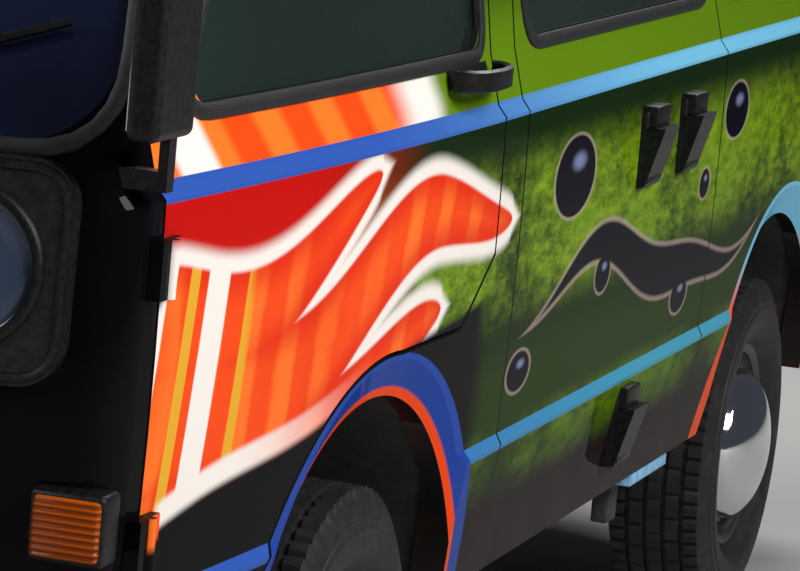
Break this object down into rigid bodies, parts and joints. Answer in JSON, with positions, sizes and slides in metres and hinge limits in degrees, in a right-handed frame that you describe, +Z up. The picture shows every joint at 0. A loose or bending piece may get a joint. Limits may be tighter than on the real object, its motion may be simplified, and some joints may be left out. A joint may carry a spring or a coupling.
{
  "type": "decorated camper van",
  "caption": "Forward-control camper van with opening front doors and tailgate, steered front wheels, cab and bench seats, outside service boxes and a rear engine under a raised deck.",
  "frame": {"origin": "on the ground under the middle of the van's length and width", "axes": "+X forward, +Y to the van's left, +Z up"},
  "size_m": [4.5702, 1.9146, 1.96],
  "materials": {
    "body_paint": "gloss",
    "window_glass": "gloss",
    "grille_black": "satin",
    "lamp_glass": "gloss",
    "red_lens": "gloss",
    "bumper_black": "satin",
    "fitting_black": "matte",
    "frame_steel": "matte",
    "floor_paint": "matte",
    "cab_plastic": "matte",
    "seat_cloth": "matte",
    "engine_metal": "matte",
    "tyre": "matte",
    "wheel_chrome": "polished"
  },
  "bodies": {
    "body": {"roof": "body_paint", "nose_panel": "body_paint", "a_pillars": "body_paint", "centre_pillars": "body_paint", "mid_side_left": "body_paint", "sliding_door": "body_paint", "rear_side_left": "body_paint", "rear_side_right": "body_paint", "rear_panel": "body_paint", "windscreen": "window_glass", "side_glass": "window_glass", "grille": "grille_black", "front_lamps": "lamp_glass", "tail_lamps": "red_lens", "bumpers": "bumper_black", "hookup_boxes": "fitting_black", "mirrors": "fitting_black", "frame_rails": "frame_steel", "front_axle": "frame_steel", "rear_axle": "frame_steel", "cab_floor": "floor_paint", "load_floor": "floor_paint", "rear_deck": "floor_paint", "dashboard": "cab_plastic", "seats": "seat_cloth", "engine": "engine_metal"},
    "tailgate": {"tailgate": "body_paint", "tailgate_glass": "window_glass"},
    "door_left": {"door_left": "body_paint", "door_glass_left": "window_glass", "door_handle_left": "fitting_black"},
    "door_right": {"door_right": "body_paint", "door_glass_right": "window_glass", "door_handle_right": "fitting_black"},
    "steering_wheel": {"steering_wheel": "cab_plastic"},
    "knuckle_left": {"knuckle_left": "frame_steel"},
    "knuckle_right": {"knuckle_right": "frame_steel"},
    "wheel_front_left": {"tyre_front_left": "tyre", "wheel_front_left": "wheel_chrome"},
    "wheel_front_right": {"tyre_front_right": "tyre", "wheel_front_right": "wheel_chrome"},
    "wheel_rear_left": {"tyre_rear_left": "tyre", "wheel_rear_left": "wheel_chrome"},
    "wheel_rear_right": {"tyre_rear_right": "tyre", "wheel_rear_right": "wheel_chrome"}
  },
  "joints": [
    {"name": "steer_left", "type": "hinge", "parent": "body", "child": "knuckle_left", "pos_m": [1.22, 0.66, 0.314], "axis": [0, 0, 1], "range_deg": [-36, 36]},
    {"name": "steer_right", "type": "hinge", "parent": "body", "child": "knuckle_right", "pos_m": [1.22, -0.66, 0.314], "axis": [0, 0, 1], "range_deg": [-36, 36]},
    {"name": "steering_wheel_turn", "type": "hinge", "parent": "body", "child": "steering_wheel", "pos_m": [1.715, 0.4, 1.165], "axis": [-0.5299, 0, 0.848], "range_deg": [-648, 648]},
    {"name": "spin_front_left", "type": "hinge", "parent": "knuckle_left", "child": "wheel_front_left", "pos_m": [1.22, 0.794, 0.314], "axis": [0, 1, 0], "continuous": true},
    {"name": "spin_front_right", "type": "hinge", "parent": "knuckle_right", "child": "wheel_front_right", "pos_m": [1.22, -0.794, 0.314], "axis": [0, 1, 0], "continuous": true},
    {"name": "spin_rear_left", "type": "hinge", "parent": "body", "child": "wheel_rear_left", "pos_m": [-1.24, 0.794, 0.314], "axis": [0, 1, 0], "continuous": true},
    {"name": "spin_rear_right", "type": "hinge", "parent": "body", "child": "wheel_rear_right", "pos_m": [-1.24, -0.794, 0.314], "axis": [0, 1, 0], "continuous": true},
    {"name": "door_left_hinge", "type": "hinge", "parent": "body", "child": "door_left", "pos_m": [2.0485, 0.881, 1], "axis": [0, 0, -1], "range_deg": [0, 70]},
    {"name": "door_right_hinge", "type": "hinge", "parent": "body", "child": "door_right", "pos_m": [2.0485, -0.881, 1], "axis": [0, 0, 1], "range_deg": [0, 70]},
    {"name": "tailgate_hinge", "type": "hinge", "parent": "body", "child": "tailgate", "pos_m": [-2.108, 0, 1.7465], "axis": [0, 1, 0], "range_deg": [0, 80]}
  ],
  "couplings": [
    {"joint": "steer_right", "follows": "steer_left", "ratio": 1},
    {"joint": "steering_wheel_turn", "follows": "steer_left", "ratio": 18}
  ]
}
